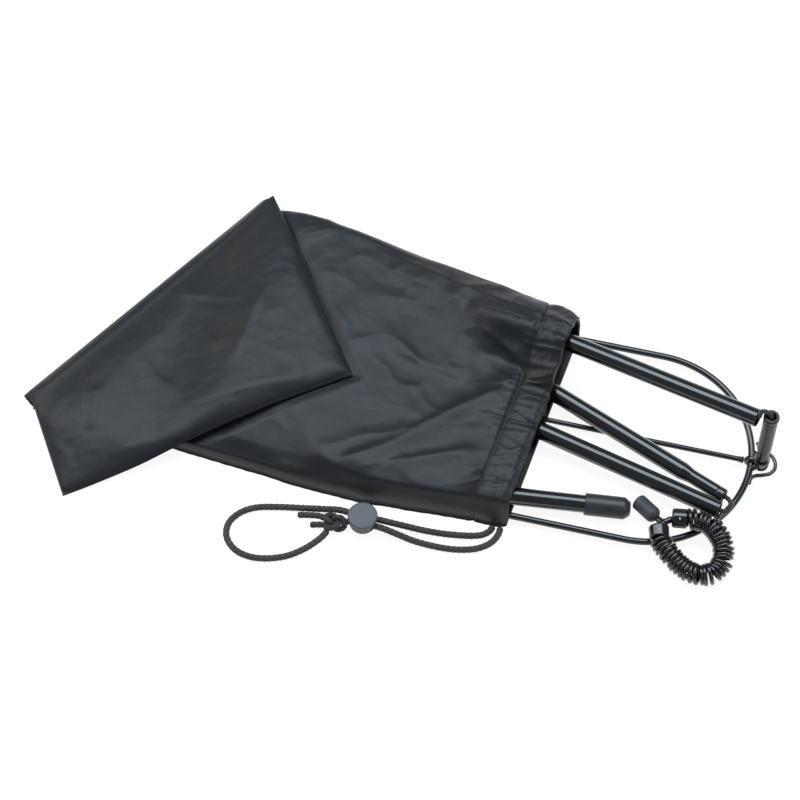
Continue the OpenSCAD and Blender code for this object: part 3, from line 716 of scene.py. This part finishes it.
def ridge(p, a, b, height, width, side=1.0):
    """A crease from a to b in plan: a soft ridge that fades at both ends, steeper on one side."""
    a, b = np.array(a, float), np.array(b, float)
    d = b - a
    size = np.linalg.norm(d)
    d /= size
    x = ((p - a) @ d) / size
    y = (p[..., 0] - a[0]) * -d[1] + (p[..., 1] - a[1]) * d[0]
    w = np.where(y * side > 0, width * 0.45, width)
    fade = ease(x / 0.25) * ease((1 - x) / 0.25)
    return height * fade / (1 + (y / w) ** 2)


def flap_cover(p):
    """1 under the folded-over end, 0 clear of it."""
    def inside(a, b):
        d = (b - a) / np.linalg.norm(b - a)
        return (p[..., 0] - a[0]) * -d[1] + (p[..., 1] - a[1]) * d[0]
    return ease((inside(flap_near, flap_far) + 8) / 8) * ease((inside(flap_far, fold_far) + 8) / 8)


def crumple(x, y, size, seed):
    """Wandering raised creases between flat patches, from 0 to 1."""
    n = hills(x + 6 * np.sin(y / 31), y, size, seed, 2)
    return np.clip(1 - 2.6 * np.abs(n), 0, 1) ** 1.3


random = np.random.default_rng(7)
puckers = []
place = 0.05
while place < 0.97:
    strong = 0.35 + 0.65 * np.exp(-(((place - 0.56) / 0.22) ** 2))
    pucker_height = strong * random.uniform(0.8, 2.2)
    pucker_width = random.uniform(0.007, 0.02)
    pucker_slant = random.uniform(-0.06, 0.05)
    puckers.append((place, pucker_height, pucker_width, pucker_slant, random.uniform(6, 30)))
    place += random.uniform(0.022, 0.055)


def gathers(w, t):
    """Small folds that run across the hem, w millimetres from its seam, and fade out on the panel."""
    total = np.zeros(np.broadcast(w, t).shape)
    for place, height, width, slant, tail in puckers:
        y = t - place - slant * (w / HEM_WIDTH)
        fade = np.where(w < 0, np.exp(-((w / tail) ** 2)), 1.0)
        bend = 1 + 0.6 * np.clip(-w / 20, 0, 2)
        total += height * fade / (1 + (y / (width * bend)) ** 2)
    return total


def columns(count, evenness):
    """Positions from 0 to 1 that lie closer together at both ends."""
    return mix((1 - np.cos(pi * np.linspace(0, 1, count))) / 2, np.linspace(0, 1, count), evenness)


PANEL_ROWS, HEM_ROWS, COLS = 180, 30, 280
t = columns(COLS, 0.45)
S, T = np.meshgrid(np.linspace(0, 1, PANEL_ROWS), t, indexing="ij")
xy = panel_xy(S, T)
edge = np.linalg.norm(xy[:, -1] - xy[:, 0], axis=1)[:, None] * np.minimum(T, 1 - T)
panel = np.concatenate([xy, roof_z(xy, edge)[..., None]], axis=2)
to_hem = (S - 1) * PANEL_LENGTH
cover = flap_cover(xy)
soft = ease(edge / 14)
creases = (
    ridge(xy, (72, 12), (2, -48), 3.6, 9, -1)
    + ridge(xy, (20, -38), (-30, -74), 2.6, 9, -1)
    + ridge(xy, (58, -42), (-6, -70), 2.6, 8, -1)
    + ridge(xy, (76, 42), (24, 56), 3.4, 8, -1)
    + ridge(xy, (74, 26), (36, 44), 1.4, 5, 1)
    + ridge(xy, (56, -60), (70, -76), 1.6, 4, -1)
    + ridge(xy, (-20, 18), (40, 4), 1.6, 8, -1)
    + ridge(xy, (-34, 78), (10, 66), 1.2, 10, -1)
    + ridge(xy, (-70, 100), (-96, 84), 1.4, 5, 1)
    + ridge(xy, (-30, -20), (26, -30), 1.2, 9, -1)
    + ridge(xy, (-78, -74), (10, -84), 1.4, 8, 1)
)
near_hem = np.exp(to_hem / 55)
seam_rise = 2.0 * ease(1 + to_hem / 26)
lift = (
    creases * (1 - cover)
    + (1 - cover) * soft * (0.35 + 1.0 * near_hem) * crumple(xy[..., 0], xy[..., 1], 34, 21)
    + (1 - cover) * soft * 1.1 * crumple(xy[..., 0] + 40, xy[..., 1] * 1.3, 70, 5)
    + seam_rise * (0.5 + 0.5 * soft)
    + (1 - cover) * soft * (1.2 + 1.2 * hills(xy[..., 0], xy[..., 1], 52, 1, 2))
    + (1 - 0.85 * cover) * soft * (0.2 + 0.2 * hills(xy[..., 0], xy[..., 1], 13, 2, 3))
    + 0.9 * soft * (gathers(to_hem, T) + 0.2)
)
lift = np.maximum(lift, 0.1)
panel_out = panel + normals(panel) * (CLOTH + lift)[..., None]


def hem_row(w):
    """One row of the hem's underside, w millimetres from its seam."""
    xy = hem_xy(np.full(COLS, float(w)), t)
    edge = np.linalg.norm(xy[-1] - xy[0]) * np.minimum(t, 1 - t)
    return np.concatenate([xy, roof_z(xy, edge)[:, None]], axis=1)


hem_steps = np.concatenate([[0], np.linspace(1.2, HEM_WIDTH - 1.4, HEM_ROWS), [HEM_WIDTH]])
hem_base = np.stack([hem_row(w) for w in hem_steps])
hem_n = normals(hem_base)
WO, TO = np.meshgrid(hem_steps, t, indexing="ij")
groove = 0.8 * np.exp(-(((WO - 0.2) / 0.5) ** 2))
corner = 0.8 + 0.2 * ease(np.minimum(TO, 1 - TO) / 0.08)
thinning = np.clip((HEM_WIDTH + 0.8 - WO) / 5, 0.35, 1) ** 0.5
puff = (2.7 + 0.5 * np.clip(WO / 6, 0, 1)) * thinning * corner - groove
soft_hem = ease(np.minimum(TO, 1 - TO) / 0.06)
small_folds = 0.45 * hills(hem_base[..., 0], hem_base[..., 1], 7, 5, 3)
hem_gathers = 0.95 * gathers(WO, TO) * (0.35 + 0.65 * np.clip(WO / 4, 0, 1))
hem_lift = puff + soft_hem * (hem_gathers + 0.3 + small_folds)
hem_out = hem_base + hem_n * hem_lift[..., None]

# Rolled edge of the mouth, then the ply that returns to the seam inside
tip_lift = hem_lift[-1]
scallop = np.array([1.1 * noise.noise((v * 34, 1.3, 0)) for v in t])
RETURN_GAP = 0.35
rolled = []
for k in range(1, 6):
    q = pi * k / 6
    base = hem_row(HEM_WIDTH)
    base[:, 0] += (1 + scallop) * sin(q)
    rolled.append(base + hem_n[-1] * mix(tip_lift, RETURN_GAP, (1 - cos(q)) / 2)[:, None])
returned = []
for w in np.linspace(HEM_WIDTH, 0.8, 10):
    k = int(round(w / HEM_WIDTH * (len(hem_n) - 1)))
    returned.append(hem_row(w) + hem_n[k] * RETURN_GAP)
top = np.concatenate([panel_out[:-1], hem_out, np.stack(rolled), np.stack(returned)])

# The lower side follows the same rows along the ground; the return ply lies above the floor of the hem
BOTTOM_COLS = 40
tb = np.linspace(0, 1, BOTTOM_COLS)
rows_out = len(panel_out) - 1 + len(hem_out)
bottom = []
for i in range(len(top)):
    a, b = top[i, 0].copy(), top[i, -1].copy()
    if i < rows_out:
        z, out = 0.12, 0.9
    elif i < rows_out + len(rolled):
        z, out = mix(0.12, 2.9, (1 - cos(pi * (i - rows_out + 1) / 6)) / 2), 0.4
    else:
        z, out = 2.95, 0.0
    row = mix(a[:2], b[:2], tb[:, None])
    row[0, 1] -= out + 0.35 * noise.noise((a[0] / 5, 0, 2))
    row[-1, 1] += out + 0.35 * noise.noise((a[0] / 5, 0, 4))
    heights = np.full(BOTTOM_COLS, z)
    heights[[0, -1]] = z + 0.25
    bottom.append(np.concatenate([row, heights[:, None]], axis=1)[::-1])
bottom = np.stack(bottom)
rings = np.concatenate([top, bottom], axis=1)
bag = new_mesh("bag_cloth", rings.reshape(-1, 3), grid_faces(len(rings), rings.shape[1], True))
thick = bag.modifiers.new("cloth", "SOLIDIFY")
thick.thickness = 0.3 * MM
thick.offset = 1
dress(bag, nylon)
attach(bag, "root")
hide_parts("bag_top_panel", "bag_bottom_panel", "hem_upper", "hem_lower")


def stitches(name, line, normal, length=2.2, gap=1.0, thickness=0.22):
    """A run of single stitches along a line of points, standing a little proud of the cloth."""
    run = distance_along(line)
    points, faces = [], []
    at = 1.0
    while at + length < run[-1] - 1:
        q = np.linspace(at, at + length, 6)
        p = points_at(q, run, line)
        n = points_at(q, run, normal)
        n /= np.linalg.norm(n, axis=1)[:, None]
        p = p + n * (0.18 * np.sin(pi * np.linspace(0, 1, 6)))[:, None]
        d = np.gradient(p, axis=0)
        d /= np.linalg.norm(d, axis=1)[:, None]
        side = np.cross(d, n)
        base = len(points)
        for k in range(6):
            r = thickness * sqrt(sin(pi * (k + 0.6) / 6.2))
            points += [p[k] + r * (cos(w) * side[k] + sin(w) * n[k]) for w in np.arange(6) * pi / 3]
        faces += [tuple(base + v for v in f) for f in grid_faces(6, 6, True)]
        faces += [tuple(base + v for v in range(6)), tuple(base + 30 + v for v in range(5, -1, -1))]
        at += length + gap
    obj = new_mesh(name, points, faces)
    dress(obj, thread)
    return obj


seam = stitches("hem_stitches", hem_out[0] + hem_n[0] * 0.3, hem_n[0])
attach(seam, "root")

# ---- Folded-over end: the outer ply from under the bag, round the fold and over it, then the inner ply ----
FLAP_ROWS, FLAP_COLS = 120, 110
tf = columns(FLAP_COLS, 0.35)


def flap_xy(s, t):
    """Plan of the folded-over end: s runs from the fold to its end seam, t from the near side."""
    step = fold_in * PANEL_START
    return along_lines(fold_near + step, fold_far + step, flap_near, flap_far, s, t)


def flap_rest(p):
    """Height that the folded-over end lies on: the bag's roof, falling to the ground beside it."""
    inside = p[..., 1] + 73 + 0.055 * (p[..., 0] + 242)
    roof = roof_z(p, np.maximum(0, inside)) + CLOTH
    beside = ease((-inside + 4) / 42)
    fall = mix(10, 4.6, ease((-p[..., 0] - 80) / 70))
    return 0.7 + np.where(inside > 0, np.maximum(roof, fall * (1 - beside)), fall * (1 - beside))


def widened(g, steps):
    """Spreads the high places of a grid of heights outwards by some cells."""
    for _ in range(steps):
        q = np.pad(g, 1, mode="edge")
        g = np.maximum.reduce([q[1:-1, 1:-1], q[:-2, 1:-1], q[2:, 1:-1], q[1:-1, :-2], q[1:-1, 2:]])
    return g


def softened(g, steps):
    """Evens out a grid of heights, each cell with its four neighbours."""
    for _ in range(steps):
        q = np.pad(g, 1, mode="edge")
        g = (q[1:-1, 1:-1] * 2 + q[:-2, 1:-1] + q[2:, 1:-1] + q[1:-1, :-2] + q[1:-1, 2:]) / 6
    return g


SF, TF = np.meshgrid(np.linspace(0, 1, FLAP_ROWS), tf, indexing="ij")
fxy = flap_xy(SF, TF)
rest = softened(widened(flap_rest(fxy), 6), 60)
flap_width = np.linalg.norm(fxy[:, -1] - fxy[:, 0], axis=1)[:, None]
side_gap = flap_width * np.minimum(TF, 1 - TF)
# About the distance from the fold to the end seam, which is longer at the far side
flap_length = 40 + 150 * TF
end_gap = (1 - SF) * flap_length
fold_gap = SF * flap_length
near_edge = np.clip(soft_min(side_gap, end_gap, 2.0), 0, None)
flap_creases = (
    ridge(fxy, (-106, 48), (-112, -24), 1.2, 5, 1)
    + ridge(fxy, (-180, 34), (-116, 30), 0.9, 3, -1)
    + ridge(fxy, (-206, -34), (-198, -74), 1.2, 4, 1)
    + ridge(fxy, (-196, -44), (-190, -84), 0.8, 3, -1)
    + ridge(fxy, (-140, 8), (-122, -12), 0.8, 2.5, 1)
    + ridge(fxy, (-60, -16), (-150, -62), 1.1, 9, 1)
    + ridge(fxy, (-178, -20), (-140, -50), 0.7, 5, -1)
    + ridge(fxy, (-82, 66), (-62, 20), 0.9, 6, 1)
)
puffed = 3.4 * (1 - np.exp(-near_edge / 6.5)) + 1.9 * (1 - np.exp(-near_edge / 1.2))
near_side = flap_width * TF
puffed = puffed + 6.5 * (1 - np.exp(-near_side / 9)) * np.exp(-near_side / 80) * ease(end_gap / 45)
puffed = puffed * mix(0.45, 1, ease(fold_gap / 30))
wave = (0.45 * hills(fxy[..., 0], fxy[..., 1], 55, 11, 2) + 0.35 * hills(fxy[..., 0], fxy[..., 1], 13, 12, 3)
        + 0.45 * crumple(fxy[..., 0], fxy[..., 1], 42, 9))
flap_soft = ease(near_edge / 10)
fold_soft = ease(fold_gap / 16)
over = rest + 1.0 + puffed * 0.9 + flap_soft * fold_soft * (1.3 * flap_creases + wave + 0.6)
under = rest + 0.55 + 0.25 * ease(near_edge / 4)
outer = np.concatenate([fxy, over[..., None]], axis=2)
inner_ply = np.concatenate([fxy, under[..., None]], axis=2)

# Round the fold: from the ground at the main panel, round the roll, to the start of the folded-over end
fold_line = mix(fold_near, fold_far, tf[:, None])
squeeze = 0.6 + 0.4 * ease(np.minimum(tf, 1 - tf) * 220 / 6)
TO_PANEL = PANEL_START - FOLD_R
GROUND = 0.1
roll_rows = []
for k in range(15):
    q = k / 14
    if q < 0.25:
        across = mix(PANEL_START + 1.5, FOLD_R, q / 0.25)
        height = np.full(FLAP_COLS, GROUND)
    else:
        w = pi * (q - 0.25) / 0.75
        blend_in = ease((q - 0.7) / 0.3)
        across = FOLD_R - FOLD_R * sin(w) + TO_PANEL * blend_in
        height = mix(FOLD_R - (FOLD_R - GROUND) * cos(w), over[0], blend_in)
        height = mix(FOLD_R, height, squeeze)
    roll_rows.append(np.concatenate([fold_line + across * fold_in, height[:, None]], axis=1))
inner_roll = []
for k in range(12):
    w = pi * k / 11
    r = FOLD_R - 1.1
    across = FOLD_R - r * sin(w) + TO_PANEL * (1 - ease(k / 3)) + TO_PANEL * ease((k - 8) / 3)
    height = mix(FOLD_R, mix(under[0], FOLD_R + r * cos(w), ease(k / 3)), squeeze)
    inner_roll.append(np.concatenate([fold_line + across * fold_in, height[:, None]], axis=1))
end_out = np.zeros((1, FLAP_COLS, 3))
end_out[0] = (outer[-1] + inner_ply[-1]) / 2
end_out[0, :, 1] -= 0.9
end_out[0, :, 0] += 0.4
flap_grid = np.concatenate([roll_rows[:-1], outer, end_out, inner_ply[::-1], inner_roll[1:]])
flap = new_mesh("bag_end_cloth", flap_grid.reshape(-1, 3), grid_faces(len(flap_grid), FLAP_COLS))
thick = flap.modifiers.new("cloth", "SOLIDIFY")
thick.thickness = 0.25 * MM
thick.offset = 0
dress(flap, nylon)
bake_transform(flap)
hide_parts("fold_roll", "flap_inner_panel", "flap_outer_panel", "flap_end_seam")

# Stitches along the two side seams of the folded-over end
for label, column in (("near", 1), ("far", -2)):
    line = outer[2:-2, column] + np.array((0, 0, 0.1))
    row = stitches(f"flap_stitches_{label}", line, np.tile((0.0, 0.0, 1.0), (len(line), 1)))
    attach(row, "bag_end")

# ---- Floor and light ----
FAR = 6000
floor_corners = [(-FAR, -FAR, 0), (FAR, -FAR, 0), (FAR, FAR, 0), (-FAR, FAR, 0)]
floor = new_mesh("floor", floor_corners, [(0, 1, 2, 3)], False)
floor_mat = bpy.data.materials.new("floor")
floor_mat.use_nodes = True
shader = floor_mat.node_tree.nodes["Principled BSDF"]
shader.inputs["Base Color"].default_value = (0.2, 0.2, 0.2, 1)
shader.inputs["Roughness"].default_value = 0.9
shader.inputs["Specular IOR Level"].default_value = 0.1
shader.inputs["Emission Color"].default_value = (1, 1, 1, 1)
shader.inputs["Emission Strength"].default_value = 0.9
floor.data.materials.append(floor_mat)


def soft_light(name, place, size, power, colour):
    """A rectangular light that points at the middle of the object."""
    data = bpy.data.lights.new(name, "AREA")
    data.shape = "RECTANGLE"
    data.size, data.size_y = size
    data.energy = power
    data.color = colour
    obj = bpy.data.objects.new(name, data)
    scene.collection.objects.link(obj)
    obj.location = place
    obj.rotation_euler = (-Vector(place)).to_track_quat("-Z", "Y").to_euler()


soft_light("key", (-0.1, 0.55, 1.9), (2.3, 1.2), 44, (0.8, 0.91, 1.0))
soft_light("left", (-1.6, 0.1, 1.3), (1.1, 1.1), 12, (1.0, 0.99, 0.97))
soft_light("right", (1.7, -0.3, 1.1), (0.9, 0.9), 6, (1.0, 0.97, 0.94))
world = bpy.data.worlds.new("studio")
world.use_nodes = True
world.node_tree.nodes["Background"].inputs["Color"].default_value = (0.9, 0.94, 1.0, 1)
world.node_tree.nodes["Background"].inputs["Strength"].default_value = 0.22
scene.world = world
scene.view_settings.view_transform = "Standard"

bpy.context.view_layer.update()
